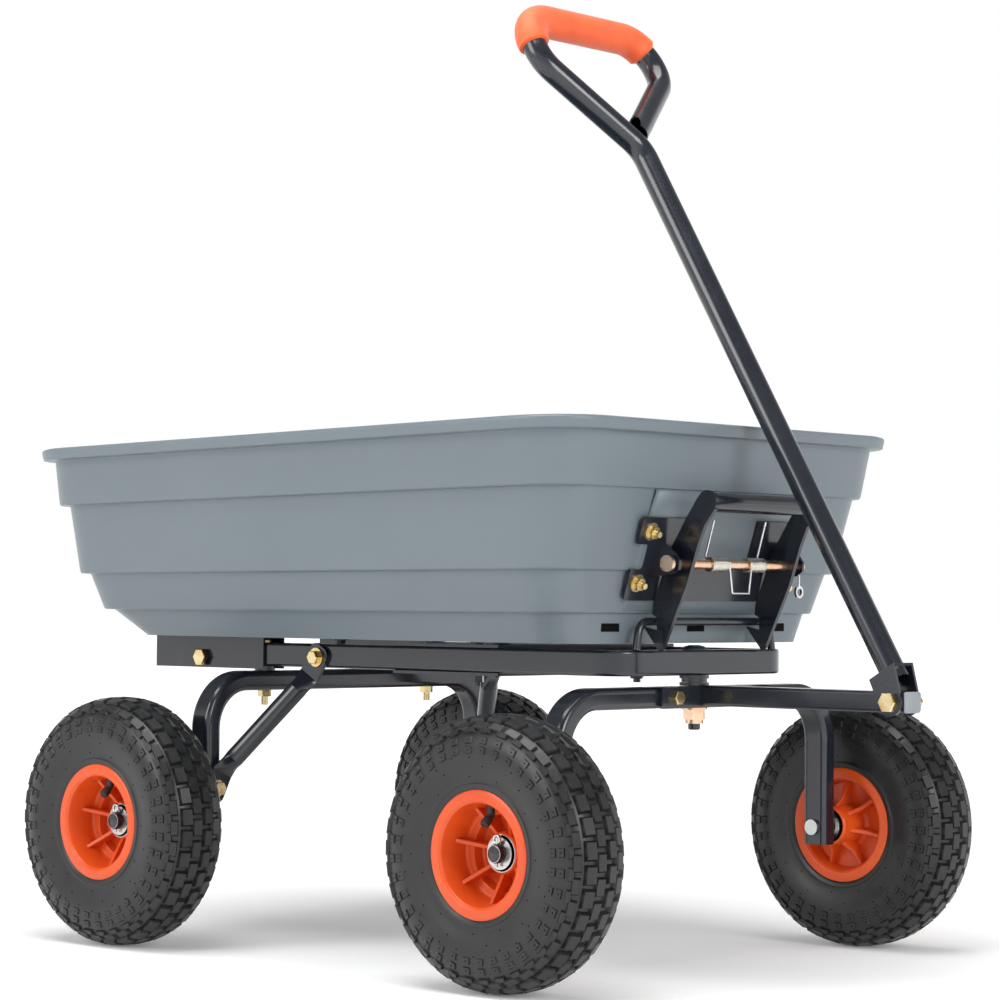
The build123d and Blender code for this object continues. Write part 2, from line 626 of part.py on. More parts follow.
grip_path = [
    (LOOP_TOP - LOOP_R - 1, side_sign * LOOP_LEFT), (LOOP_TOP, side_sign * LOOP_LEFT),
    (LOOP_TOP, side_sign * LOOP_RIGHT), (LOOP_TOP - LOOP_R - 1, side_sign * LOOP_RIGHT),
]
grip_sleeve = round_sweep(grip_path, LOOP_R, GRIP_R, HANDLE_R, handle_plane)
with BuildPart() as grip:
    add(grip_sleeve)
save(grip, "handle_grip")

CLEVIS_IN_Y = TUBE / 2 + 0.5
CLEVIS_EAR_R = 13.0
clevis_plane = Plane(origin=pivot, x_dir=ahead, z_dir=(0, -1, 0))
with BuildPart() as clevis:
    for y0 in (CLEVIS_IN_Y, -CLEVIS_IN_Y - SHEET):
        with BuildSketch(clevis_plane.offset(y0)):
            with BuildLine():
                Polyline((-CLEVIS_EAR_R, 0), (-10, CLEVIS_TOP), (22, CLEVIS_TOP),
                         (CLEVIS_EAR_R, 0))
                ThreePointArc((CLEVIS_EAR_R, 0), (0, -CLEVIS_EAR_R), (-CLEVIS_EAR_R, 0))
            make_face()
            Circle(M10_R + RUNNING_GAP, mode=Mode.SUBTRACT)
        extrude(amount=SHEET)
    with BuildSketch(Plane(origin=pivot + up * (CLEVIS_TOP - SHEET), x_dir=ahead, z_dir=up)):
        with Locations((6, 0)):
            Rectangle(32, 2 * CLEVIS_IN_Y)
        with Locations((HANDLE_OFFSET, 0)):
            Circle(HANDLE_R, mode=Mode.SUBTRACT)
    extrude(amount=SHEET)
save(clevis, "clevis")

pull_bolt = hex_bolt(M10_R, 2 * (CLEVIS_IN_Y + SHEET) + 0.4, 17.0, 6.5, tail=3.0)
with BuildPart() as pull_bolt_placed:
    with Locations(outward_plane(PULL_X, -CLEVIS_IN_Y - SHEET - 0.2, TONGUE_Z).location):
        add(pull_bolt)
save(pull_bolt_placed, "handle_pivot_bolt")

# ---- tub -----------------------------------------------------------------------------------
TUB_CORNER = 46.0


def tier_sketch(level, inset, corner):
    """Rounded rectangle of one level of the tub, given as (z, rear x, front x, half width)."""
    z, rear, front, half = level
    mid = REAR_AXLE_X + (rear + front) / 2
    with BuildSketch(Plane(origin=(mid, 0, z))) as outline:
        RectangleRounded(front - rear - 2 * inset, 2 * (half - inset), corner - inset)
    return outline.sketch


def above_ledge(level):
    """The wider outline that starts on top of a ledge."""
    z, rear, front, half = level
    return (z, rear - LEDGE, front + LEDGE / 2, half + LEDGE)


wall_top = (RIM_Z - 7.0, -174.0, 594.0, 262.0)
levels = [BOTTOM, TIERS[0]]
for tier in TIERS[1:]:
    levels.append(tier)
levels.append(wall_top)
corners = [44.0, 46.0, 50.0, 55.0, 62.0]


def tub_body(inset, lift, top_lift):
    """The stepped tub as a solid, pulled in by the inset: one loft between two levels."""
    with BuildPart() as body:
        for index in range(len(levels) - 1):
            low = levels[index] if index == 0 else above_ledge(levels[index])
            high = levels[index + 1]
            rise = top_lift if index == len(levels) - 2 else lift
            lower = tier_sketch((low[0] + lift, *low[1:]), inset, corners[index])
            upper = tier_sketch((high[0] + rise, *high[1:]), inset, corners[index + 1])
            loft([lower, upper])
    return body.part


rim_mid_x = (RIM_REAR_X + RIM_FRONT_X) / 2
rim_plane = Plane(origin=(rim_mid_x, 0, RIM_Z)).rotated((0, -RIM_SLOPE, 0))
PANEL_LOW = (REAR_AXLE_X + 549.0, 352.0)
PANEL_HIGH = (REAR_AXLE_X + 588.0, 470.0)
outer_form = tub_body(0, 0, 0)
inner_form = tub_body(TUB_WALL, TUB_WALL, 30)
with BuildPart() as tub:
    add(outer_form)
    with BuildSketch(Plane.XZ):
        with BuildLine():
            Polyline(PANEL_LOW, PANEL_HIGH, (PANEL_HIGH[0] - 24, PANEL_HIGH[1]),
                     (PANEL_LOW[0] - 20, PANEL_LOW[1]), close=True)
        make_face()
    extrude(amount=124, both=True)
    with BuildSketch(rim_plane):
        RectangleRounded(RIM_FRONT_X - RIM_REAR_X, 2 * RIM_HALF_Y, 70)
    extrude(amount=-LIP)
    top_edges = tub.faces().sort_by(Axis.Z)[-1].edges()
    fillet(top_edges, 5.0)
    with BuildSketch(rim_plane.offset(-3.5)):
        RectangleRounded(RIM_FRONT_X - RIM_REAR_X - 7, 2 * RIM_HALF_Y - 7, 66.5)
        with Locations((0, 0)):
            RectangleRounded(RIM_FRONT_X - RIM_REAR_X - 22, 2 * RIM_HALF_Y - 22, 59,
                             mode=Mode.SUBTRACT)
    extrude(amount=-LIP, mode=Mode.SUBTRACT)
    add(inner_form, mode=Mode.SUBTRACT)
save(tub, "tub")

# ---- dump hinge ----------------------------------------------------------------------------
BRACKET_REAR_X = REAR_AXLE_X - 109.0
BRACKET_FRONT_X = REAR_AXLE_X + 64.0
BRACKET_BOTTOM_Z = 287.0
bracket_half = TUBE / 2 + 0.5
bracket_mid_x = (BRACKET_REAR_X + BRACKET_FRONT_X) / 2
BRACKET_T = 2.4
with BuildPart() as hinge_channels:
    for y in (-RAIL_Y, RAIL_Y):
        with BuildSketch(Plane.YZ.offset(BRACKET_REAR_X)):
            with Locations((y, (TUB_BOTTOM_Z + BRACKET_BOTTOM_Z) / 2)):
                Rectangle(2 * (bracket_half + BRACKET_T), TUB_BOTTOM_Z - BRACKET_BOTTOM_Z)
            with Locations((y, (TUB_BOTTOM_Z + BRACKET_BOTTOM_Z) / 2 - BRACKET_T)):
                Rectangle(2 * bracket_half, TUB_BOTTOM_Z - BRACKET_BOTTOM_Z,
                          mode=Mode.SUBTRACT)
        extrude(amount=BRACKET_FRONT_X - BRACKET_REAR_X)
    with Locations(Plane.XZ.location):
        with Locations((DUMP_X, DUMP_Z, 0)):
            Hole(M10_R + RUNNING_GAP, depth=RAIL_Y * 3)
save(hinge_channels, "hinge_channels")

hinge_grip = 2 * (bracket_half + BRACKET_T) + 0.6
hinge_bolt = hex_bolt(M10_R, hinge_grip, 17.0, 6.5, tail=3.0)
with BuildPart() as dump_pivot_bolts:
    for side in (-1, 1):
        head_y = side * (RAIL_Y + hinge_grip / 2)
        with Locations(outward_plane(DUMP_X, head_y, DUMP_Z).location):
            add(hinge_bolt)
save(dump_pivot_bolts, "dump_pivot_bolts")

BUFFER_X = REAR_AXLE_X + 167.0
with BuildPart() as tub_buffers:
    for y in (-RAIL_Y, RAIL_Y):
        with BuildSketch(Plane(origin=(BUFFER_X, y, TUB_BOTTOM_Z))):
            Circle(9.0)
        extrude(amount=-2.2)
        with BuildSketch(Plane(origin=(BUFFER_X, y, TUB_BOTTOM_Z - 2.2))):
            Circle(4.5)
        extrude(amount=rail_top_z + 0.4 - (TUB_BOTTOM_Z - 2.2))
save(tub_buffers, "tub_buffers")

# ---- latch bracket, rod, spring and release handle -----------------------------------------
panel_dir = Vector(PANEL_HIGH[0] - PANEL_LOW[0], 0, PANEL_HIGH[1] - PANEL_LOW[1]).normalized()
panel_out = Vector(panel_dir.Z, 0, -panel_dir.X)


def on_panel(z, proud=0.0):
    """Point on the tub's front panel at height z, standing proud of it."""
    share = (z - PANEL_LOW[1]) / (PANEL_HIGH[1] - PANEL_LOW[1])
    foot = Vector(PANEL_LOW[0] + share * (PANEL_HIGH[0] - PANEL_LOW[0]), 0, z)
    return foot + panel_out * proud


bracket_mid = on_panel(404)
panel_plane = Plane(origin=bracket_mid, x_dir=(0, 1, 0), z_dir=panel_out)
BRACKET_BOLTS = [(-113, 28), (-115, -24), (113, 28), (115, -24)]
EAR_Y = 98.0
EAR_R = 11.0
with BuildPart() as latch_bracket:
    with BuildSketch(panel_plane):
        RectangleRounded(256, 84, 5)
        with Locations((0, 22)):
            RectangleRounded(100, 46, 4, mode=Mode.SUBTRACT)
        with Locations((-124, 2), (124, 2)):
            RectangleRounded(30, 26, 4, mode=Mode.SUBTRACT)
        with Locations(*BRACKET_BOLTS):
            Circle(M6_R, mode=Mode.SUBTRACT)
    extrude(amount=SHEET)
    for y0 in (EAR_Y - SHEET / 2, -EAR_Y - SHEET / 2):
        with BuildSketch(Plane(origin=(0, y0, 0), x_dir=(1, 0, 0), z_dir=(0, -1, 0)).offset(-SHEET)):
            with BuildLine():
                low_root = on_panel(386, SHEET - 0.5)
                high_root = on_panel(424, SHEET - 0.5)
                Polyline((low_root.X, low_root.Z), (high_root.X, high_root.Z),
                         (ROD_X + 4, ROD_Z + 11), (ROD_X + 10, ROD_Z + 3),
                         (ROD_X + 9, ROD_Z - 6), (ROD_X + 2, ROD_Z - 10), close=True)
            make_face()
            with Locations((ROD_X, ROD_Z)):
                Circle(M10_R, mode=Mode.SUBTRACT)
        extrude(amount=SHEET)
save(latch_bracket, "latch_bracket")

# The bolts pass through the tub's double wall and carry a nut and a washer outside.
panel_bolt_planes = []
for u, v in BRACKET_BOLTS:
    spot = panel_plane.offset(SHEET).from_local_coords(Vector(u, v, 0))
    panel_bolt_planes.append(Plane(origin=spot, x_dir=(0, 1, 0), z_dir=panel_out))
with BuildPart() as panel_bolt:
    with BuildSketch():
        Circle(9.0)
    extrude(amount=1.6)
    with BuildSketch(Plane.XY.offset(1.6)):
        RegularPolygon(5.8, 6, major_radius=False)
    extrude(amount=5.0)
    with BuildSketch(Plane.XY.offset(-SHEET)):
        Circle(M6_R)
    extrude(amount=SHEET + 12.0)
with BuildPart() as bracket_bolts:
    with Locations(*[plane.location for plane in panel_bolt_planes]):
        add(panel_bolt.part)
save(bracket_bolts, "bracket_bolts")

ROD_HALF = 107.0
PIN_Y = 103.5
with BuildPart() as latch_rod:
    with BuildSketch(Plane.XZ.offset(-ROD_HALF)):
        with Locations((ROD_X, ROD_Z)):
            Circle(M10_R)
    extrude(amount=2 * ROD_HALF)
    with BuildSketch(Plane.XZ.offset(ROD_HALF - 4)):
        with Locations((ROD_X, ROD_Z)):
            Circle(8.0)
    extrude(amount=4)
    with Locations((ROD_X, PIN_Y, ROD_Z)):
        Cylinder(1.2, 30, mode=Mode.SUBTRACT)
save(latch_rod, "latch_rod")

with BuildPart() as hairpin:
    with Locations((ROD_X, PIN_Y, ROD_Z - 6)):
        Cylinder(1.1, 34)
    with BuildSketch(front_plane(ROD_X - 1.2, PIN_Y, ROD_Z - 26)):
        Circle(6.2)
        Circle(3.8, mode=Mode.SUBTRACT)
    extrude(amount=2.4)
save(hairpin, "hairpin")

COIL_Y = 29.0
COIL_LEN = 24.0
COIL_R = 7.5
WIRE_R = 0.95
loop_z = 371.0
with BuildPart() as torsion_spring:
    for y in (-COIL_Y, COIL_Y):
        with BuildSketch(Plane.XZ.offset(-y - COIL_LEN / 2)):
            with Locations((ROD_X, ROD_Z)):
                Circle(COIL_R)
                Circle(M10_R + 0.3, mode=Mode.SUBTRACT)
        extrude(amount=COIL_LEN)
        leg_y = y + (COIL_LEN / 2 - WIRE_R if y > 0 else WIRE_R - COIL_LEN / 2)
        with BuildSketch(Plane(origin=(ROD_X - 6.4, leg_y, ROD_Z + 2), z_dir=panel_dir)):
            Circle(WIRE_R)
        extrude(amount=44)
        bend_y = y - (COIL_LEN / 2 - WIRE_R if y > 0 else WIRE_R - COIL_LEN / 2)
        with BuildSketch(Plane(origin=(ROD_X + 6.4, bend_y, ROD_Z - 2), z_dir=(0, 0, -1))):
            Circle(WIRE_R)
        extrude(amount=ROD_Z - 2 - loop_z)
    with BuildSketch(Plane.XZ.offset(-COIL_Y + COIL_LEN / 2 - WIRE_R)):
        with Locations((ROD_X + 6.4, loop_z)):
            Circle(WIRE_R * 1.15)
    extrude(amount=2 * (COIL_Y - COIL_LEN / 2 + WIRE_R))
save(torsion_spring, "torsion_spring")

# Outline of one arm: beak under the latch bar, tip, front edge, grab tube, rear edge, throat.
arm_outline = [
    (-48, -61), (-28, -85), (-23, -81), (6, -20), (19, 18), (28, 38), (40, 52), (40, 62),
    (28, 69), (19, 64), (6, 46), (-14, 15), (-36, -38), (-37, -49), (-31.5, -52), (-31, -64.5),
]
GRAB_R = 9.5
with BuildPart() as release_handle:
    for y in (-ARM_Y, ARM_Y):
        with BuildSketch(Plane(origin=(ROD_X, y - ARM_T / 2, ROD_Z), x_dir=(1, 0, 0),
                               z_dir=(0, -1, 0)).offset(-ARM_T)) as arm:
            with BuildLine():
                Polyline(*arm_outline, close=True)
            make_face()
            with Locations((GRAB_X - ROD_X, GRAB_Z - ROD_Z)):
                Circle(GRAB_R + 2)
            Circle(M10_R + RUNNING_GAP, mode=Mode.SUBTRACT)
        extrude(amount=ARM_T)
    with BuildSketch(Plane.XZ.offset(-95)):
        with Locations((GRAB_X, GRAB_Z)):
            Circle(GRAB_R)
    extrude(amount=95 + ARM_Y + ARM_T / 2)
save(release_handle, "release_handle")
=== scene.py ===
"""Looks of the garden dump cart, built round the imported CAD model. Metres, +X forwards, +Z up."""
import bmesh
import bpy
import json
import math
from mathutils import Matrix, Vector


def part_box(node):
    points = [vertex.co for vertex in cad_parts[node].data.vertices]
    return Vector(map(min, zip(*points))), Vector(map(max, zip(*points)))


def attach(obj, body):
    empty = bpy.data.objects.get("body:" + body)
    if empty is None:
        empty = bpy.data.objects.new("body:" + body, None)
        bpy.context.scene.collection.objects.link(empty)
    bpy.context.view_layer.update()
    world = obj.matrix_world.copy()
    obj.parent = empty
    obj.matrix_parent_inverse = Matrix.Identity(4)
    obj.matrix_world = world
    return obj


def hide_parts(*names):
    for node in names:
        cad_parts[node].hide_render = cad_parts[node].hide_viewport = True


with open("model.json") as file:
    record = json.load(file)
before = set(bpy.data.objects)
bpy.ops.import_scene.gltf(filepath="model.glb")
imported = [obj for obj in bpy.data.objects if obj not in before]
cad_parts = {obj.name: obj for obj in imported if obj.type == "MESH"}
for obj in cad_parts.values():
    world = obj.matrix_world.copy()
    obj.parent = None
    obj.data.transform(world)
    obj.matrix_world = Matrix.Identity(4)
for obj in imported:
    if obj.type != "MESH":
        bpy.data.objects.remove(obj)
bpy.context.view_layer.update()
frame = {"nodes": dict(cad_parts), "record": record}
MM = 0.001

SIDES = {
    "front_right": -1,
    "front_left": 1,
    "rear_right": -1,
    "rear_left": 1,
}


# ---- mesh helpers ----------------------------------------------------------------------------
def finish_mesh(name, bm, material, body, replaces=(), smooth_angle=40.0, bevel=0.0):
    """Turn a bmesh into a shown piece that rides on a body."""
    bmesh.ops.recalc_face_normals(bm, faces=bm.faces)
    mesh = bpy.data.meshes.new(name)
    bm.to_mesh(mesh)
    bm.free()
    piece = bpy.data.objects.new(name, mesh)
    bpy.context.scene.collection.objects.link(piece)
    piece.data.materials.append(material)
    if bevel:
        edge = piece.modifiers.new("edge", "BEVEL")
        edge.width = bevel
        edge.segments = 3
        edge.limit_method = "ANGLE"
        edge.angle_limit = math.radians(smooth_angle)
        edge.harden_normals = False
    mesh.polygons.foreach_set("use_smooth", [True] * len(mesh.polygons))
    mesh.set_sharp_from_angle(angle=math.radians(smooth_angle))
    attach(piece, body)
    if replaces:
        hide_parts(*replaces)
    return piece


def catmull(points, steps):
    """Smooth open line through 2-D points."""
    line = []
    for i in range(len(points) - 1):
        p0 = Vector(points[max(i - 1, 0)])
        p1 = Vector(points[i])
        p2 = Vector(points[i + 1])
        p3 = Vector(points[min(i + 2, len(points) - 1)])
        for step in range(steps):
            t = step / steps
            line.append(0.5 * (2 * p1 + (p2 - p0) * t + (2 * p0 - 5 * p1 + 4 * p2 - p3) * t ** 2
                               + (3 * p1 - p0 - 3 * p2 + p3) * t ** 3))
    line.append(Vector(points[-1]))
    return line


def revolve(bm, profile, segments, place, closed=False):
    """Turn a (radius, height) profile about local Z; place maps local to the row frame."""
    rings = []
    for k in range(segments):
        angle = 2 * math.pi * k / segments
        ring = [bm.verts.new(place @ Vector((r * math.cos(angle), r * math.sin(angle), h)))
                for r, h in profile]
        rings.append(ring)
    count = len(profile)
    for k in range(segments):
        ring, following = rings[k], rings[(k + 1) % segments]
        for j in range(count if closed else count - 1):
            n = (j + 1) % count
            bm.faces.new((ring[j], following[j], following[n], ring[n]))


def rounded_corner(a, b, c, radius, steps):
    """Points of the arc that rounds the corner at b."""
    to_a = (a - b).normalized()
    to_c = (c - b).normalized()
    half = to_a.angle(to_c) / 2
    reach = radius / math.tan(half)
    centre = b + (to_a + to_c).normalized() * (radius / math.sin(half))
    start = b + to_a * reach - centre
    end = b + to_c * reach - centre
    turn = start.angle(end)
    return [centre + (start * math.sin(turn * (1 - s / steps)) + end * math.sin(turn * s / steps))
            / math.sin(turn) for s in range(steps + 1)]


def rounded_path(points, radius, steps=8):
    """Straight runs joined by arcs, as a list of points."""
    pts = [Vector(p) for p in points]
    line = [pts[0]]
    for i in range(1, len(pts) - 1):
        line += rounded_corner(pts[i - 1], pts[i], pts[i + 1], radius, steps)
    line.append(pts[-1])
    return line


def sweep(bm, line, section, cap=True):
    """Sweep a section round a line of points; section(i, share) gives (u, v) offsets."""
    tangent = (line[1] - line[0]).normalized()
    side = tangent.orthogonal().normalized()
    rings = []
    length = sum((line[i + 1] - line[i]).length for i in range(len(line) - 1))
    done = 0.0
    for i, point in enumerate(line):
        if i:
            done += (point - line[i - 1]).length
        ahead = line[min(i + 1, len(line) - 1)] - line[max(i - 1, 0)]
        turned = ahead.normalized()
        rotation = tangent.rotation_difference(turned)
        side = rotation @ side
        side = (side - turned * side.dot(turned)).normalized()
        tangent = turned
        up = turned.cross(side)
        rings.append([bm.verts.new(point + side * u + up * v)
                      for u, v in section(i, done / length)])
    for a, b in zip(rings, rings[1:]):
        for j in range(len(a)):
            n = (j + 1) % len(a)
            bm.faces.new((a[j], a[n], b[n], b[j]))
    if cap:
        bm.faces.new(rings[0])
        bm.faces.new(rings[-1])
    return rings


def circle(radius, count=20):
    """Offsets of a round section."""
    turns = [2 * math.pi * k / count for k in range(count)]
    return [(radius * math.cos(turn), radius * math.sin(turn)) for turn in turns]


# ---- materials -------------------------------------------------------------------------------
def noise(nodes, links, coords, scale, detail=4.0, roughness=0.55):
    """A noise texture in object coordinates."""
    texture = nodes.new("ShaderNodeTexNoise")
    texture.inputs["Scale"].default_value = scale
    texture.inputs["Detail"].default_value = detail
    texture.inputs["Roughness"].default_value = roughness
    links.new(coords.outputs["Object"], texture.inputs["Vector"])
    return texture


def surface(name, dark, light, rough, mottle=6.0, grain=900.0, grain_depth=0.05, metallic=0.0,
            coat=0.0, coat_rough=0.1, specular=0.5, sheen=0.0, spots=0.0):
    """Mottled, finely grained finish; dark and light are its two colours, rough its range."""
    material = bpy.data.materials.new(name)
    material.use_nodes = True
    nodes, links = material.node_tree.nodes, material.node_tree.links
    shader = nodes["Principled BSDF"]
    coords = nodes.new("ShaderNodeTexCoord")
    broad = noise(nodes, links, coords, mottle)
    fine = noise(nodes, links, coords, grain, detail=2.0)
    mix = nodes.new("ShaderNodeMix")
    mix.data_type = "RGBA"
    mix.inputs[6].default_value = (*dark, 1)
    mix.inputs[7].default_value = (*light, 1)
    spread = nodes.new("ShaderNodeMapRange")
    spread.inputs["From Min"].default_value = 0.3
    spread.inputs["From Max"].default_value = 0.7
    links.new(broad.outputs["Fac"], spread.inputs["Value"])
    links.new(spread.outputs["Result"], mix.inputs[0])
    colour = mix.outputs[2]
    if spots:
        flecks = noise(nodes, links, coords, grain * 0.35, detail=1.0)
        pick = nodes.new("ShaderNodeMapRange")
        pick.inputs["From Min"].default_value = 0.62
        pick.inputs["From Max"].default_value = 0.72
        pick.inputs["To Max"].default_value = spots
        links.new(flecks.outputs["Fac"], pick.inputs["Value"])
        lighten = nodes.new("ShaderNodeMix")
        lighten.data_type = "RGBA"
        lighten.inputs[7].default_value = (*[min(1.0, c * 2.2 + 0.02) for c in light], 1)
        links.new(pick.outputs["Result"], lighten.inputs[0])
        links.new(colour, lighten.inputs[6])
        colour = lighten.outputs[2]
    links.new(colour, shader.inputs["Base Color"])
    gloss = nodes.new("ShaderNodeMapRange")
    gloss.inputs["From Min"].default_value = 0.3
    gloss.inputs["From Max"].default_value = 0.7
    gloss.inputs["To Min"].default_value = rough[0]
    gloss.inputs["To Max"].default_value = rough[1]
    links.new(broad.outputs["Fac"], gloss.inputs["Value"])
    links.new(gloss.outputs["Result"], shader.inputs["Roughness"])
    bump = nodes.new("ShaderNodeBump")
    bump.inputs["Strength"].default_value = 0.5
    bump.inputs["Distance"].default_value = grain_depth * MM
    links.new(fine.outputs["Fac"], bump.inputs["Height"])
    links.new(bump.outputs["Normal"], shader.inputs["Normal"])
    shader.inputs["Metallic"].default_value = metallic
    shader.inputs["Coat Weight"].default_value = coat
    shader.inputs["Coat Roughness"].default_value = coat_rough
    shader.inputs["Specular IOR Level"].default_value = specular
    shader.inputs["Sheen Weight"].default_value = sheen
    return material


materials = {
    "tub_poly": surface("tub_poly", (0.132, 0.162, 0.184), (0.152, 0.184, 0.204), (0.34, 0.44),
                        mottle=3.0, grain=1500, grain_depth=0.06, specular=0.5),
    "powder_coat": surface("powder_coat", (0.006, 0.008, 0.014), (0.010, 0.013, 0.020),
                           (0.20, 0.28), mottle=20, grain=1500, grain_depth=0.004, coat=0.45,
                           coat_rough=0.10),
    "tyre_rubber": surface("tyre_rubber", (0.0085, 0.0085, 0.009), (0.014, 0.014, 0.0145),
                           (0.30, 0.42), mottle=35, grain=1800, grain_depth=0.06, specular=0.48,
                           spots=0.08),
    "dot_black": surface("dot_black", (0.001, 0.001, 0.001), (0.003, 0.003, 0.003), (0.7, 0.9),
                         mottle=35, grain=900, grain_depth=0.03, specular=0.1),
    "rim_orange": surface("rim_orange", (0.62, 0.064, 0.007), (0.71, 0.088, 0.010), (0.30, 0.40),
                          mottle=15, grain=1200, grain_depth=0.03, specular=0.5),
    "bearing_steel": surface("bearing_steel", (0.50, 0.52, 0.51), (0.70, 0.71, 0.69),
                             (0.20, 0.38), mottle=60, grain=1500, grain_depth=0.02, metallic=1.0),
    "black_rubber": surface("black_rubber", (0.014, 0.014, 0.015), (0.022, 0.022, 0.023),
                            (0.45, 0.60), mottle=60, grain=1500, grain_depth=0.05),
    "yellow_zinc": surface("yellow_zinc", (0.72, 0.50, 0.18), (0.86, 0.74, 0.46), (0.20, 0.34),
                           mottle=90, grain=1400, grain_depth=0.03, metallic=1.0),
    "pale_zinc": surface("pale_zinc", (0.56, 0.50, 0.38), (0.72, 0.66, 0.52), (0.26, 0.40),
                         mottle=120, grain=1400, grain_depth=0.04, metallic=1.0),
    "copper_zinc": surface("copper_zinc", (0.78, 0.42, 0.26), (0.88, 0.66, 0.48), (0.20, 0.32),
                           mottle=50, grain=1400, grain_depth=0.03, metallic=1.0),
    "grey_plastic": surface("grey_plastic", (0.20, 0.22, 0.24), (0.26, 0.28, 0.30), (0.40, 0.50),
                            mottle=60, grain=1500, grain_depth=0.04),
    "grip_orange": surface("grip_orange", (0.74, 0.085, 0.014), (0.84, 0.120, 0.022),
                           (0.50, 0.62), mottle=40, grain=1100, grain_depth=0.18, sheen=0.15,
                           spots=0.04),
    "bright_wire": surface("bright_wire", (0.60, 0.60, 0.62), (0.80, 0.80, 0.82), (0.18, 0.30),
                           mottle=80, grain=1500, grain_depth=0.02, metallic=1.0),
}

slot_of = {row["node"]: row["material_slot"] for row in frame["record"]["subparts"]}
for node, obj in frame["nodes"].items():
    obj.data.materials.clear()
    obj.data.materials.append(materials[slot_of[node]])
    obj.data.polygons.foreach_set("use_smooth", [True] * len(obj.data.polygons))
    obj.data.set_sharp_from_angle(angle=math.radians(28))


# ---- wheels ----------------------------------------------------------------------------------
def axle_place(wheel):
    """Local frame of a wheel: Z out along the axle from the tyre's middle."""
    low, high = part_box("tyre_" + wheel)
    side = SIDES[wheel]
    place = Matrix(((1, 0, 0, 0), (0, 0, side, 0), (0, -side, 0, 0), (0, 0, 0, 1)))
    place.translation = (low + high) / 2
    return place


def add_block(bm, place, centre, out, along, size, taper=0.86):
    """A tread block standing on the carcass: size is (along, across, height)."""
    across = out.cross(along).normalized()
    corners = []
    for level, scale in ((-0.6 * MM, 1.06), (size[2], taper)):
        for sx, sy in ((-1, -1), (1, -1), (1, 1), (-1, 1)):
            corners.append(bm.verts.new(
                place @ (centre + out * level + along * (sx * size[0] / 2 * scale)
                         + across * (sy * size[1] / 2 * scale))))
    bm.faces.new(corners[4:])
    for j in range(4):
        n = (j + 1) % 4
        bm.faces.new((corners[j], corners[n], corners[4 + n], corners[4 + j]))
    bm.faces.new(corners[3::-1])


# Outline of the outer carcass, each (radius, height across the tyre), in mm.
CARCASS = [(51, 31), (57.5, 31.3), (60.5, 33.6), (64.0, 34.8), (65.6, 35.0), (66.6, 34.2),
           (72, 34.9), (82, 37.2), (92, 38.6), (101, 38.0), (110, 35.4), (117.5, 30.0), (122.5, 21.0),
           (125.0, 10.0), (125.6, 0.0)]
# Outline of the inside of the carcass, from bead to bead.
CARCASS_INSIDE = [(52, -26), (62, -29), (92, -33), (115, -24), (119, 0), (115, 24), (92, 33),
                  (62, 29), (52, 26)]
TREAD_COUNT = 36
DOT_HEIGHT = 1.5
DOT_SIZE = (1.8 * MM, 1.8 * MM, 0.25 * MM)
NUB_COUNT = 44
NUB_SIZE = (1.7 * MM, 1.7 * MM, 0.5 * MM)
NUB_RADII = (73, 91, 82, 90)
half = [Vector((r * MM, h * MM)) for r, h in CARCASS]
outer_half = catmull(half, 4)
carcass_line = outer_half + [Vector((p.x, -p.y)) for p in reversed(outer_half[:-1])]
inner_line = [Vector((r * MM, h * MM)) for r, h in CARCASS_INSIDE]


def on_carcass(height, radius):
    """Point and outward normal of the carcass, at a height on the tread or a sidewall radius."""
    inside = range(1, len(outer_half) - 1)
    if radius:
        index = min(inside, key=lambda i: abs(outer_half[i].x - radius))
    else:
        index = min(inside[len(inside) // 2:], key=lambda i: abs(outer_half[i].y - abs(height)))
    point = outer_half[index]
    along = outer_half[index + 1] - outer_half[index - 1]
    normal = Vector((along.y, -along.x))
    if normal.x + normal.y < 0:
        normal = -normal
    normal.normalize()
    if height < 0:
        return Vector((point.x, -point.y)), Vector((normal.x, -normal.y))
    return point, normal


# Rows of tread: height across the tyre, or a sidewall radius with the height's sign, share of
# a pitch, then length, width and height of each block, all in mm.
TREAD_ROWS = [
    (6.4, 0, 0.0, 17.4, 11.0, 3.4), (-6.4, 0, 0.5, 17.4, 11.0, 3.4),
    (19.2, 0, 0.5, 17.6, 12.0, 3.6), (-19.2, 0, 0.0, 17.6, 12.0, 3.6),
    (12.8, 0, 0.25, 5.0, 6.0, 2.6), (-12.8, 0, 0.25, 5.0, 6.0, 2.6),
    (29.4, 0, 0.0, 15.6, 8.0, 3.0), (-29.4, 0, 0.5, 15.6, 8.0, 3.0),
    (1, 113.5, 0.5, 12.0, 5.8, 2.3), (-1, 113.5, 0.0, 12.0, 5.8, 2.3),
    (1, 106.0, 0.5, 8.4, 6.6, 1.4), (-1, 106.0, 0.0, 8.4, 6.6, 1.4),
    (1, 97.6, 0.5, 8.0, 6.6, 1.3), (-1, 97.6, 0.0, 8.0, 6.6, 1.3),
]


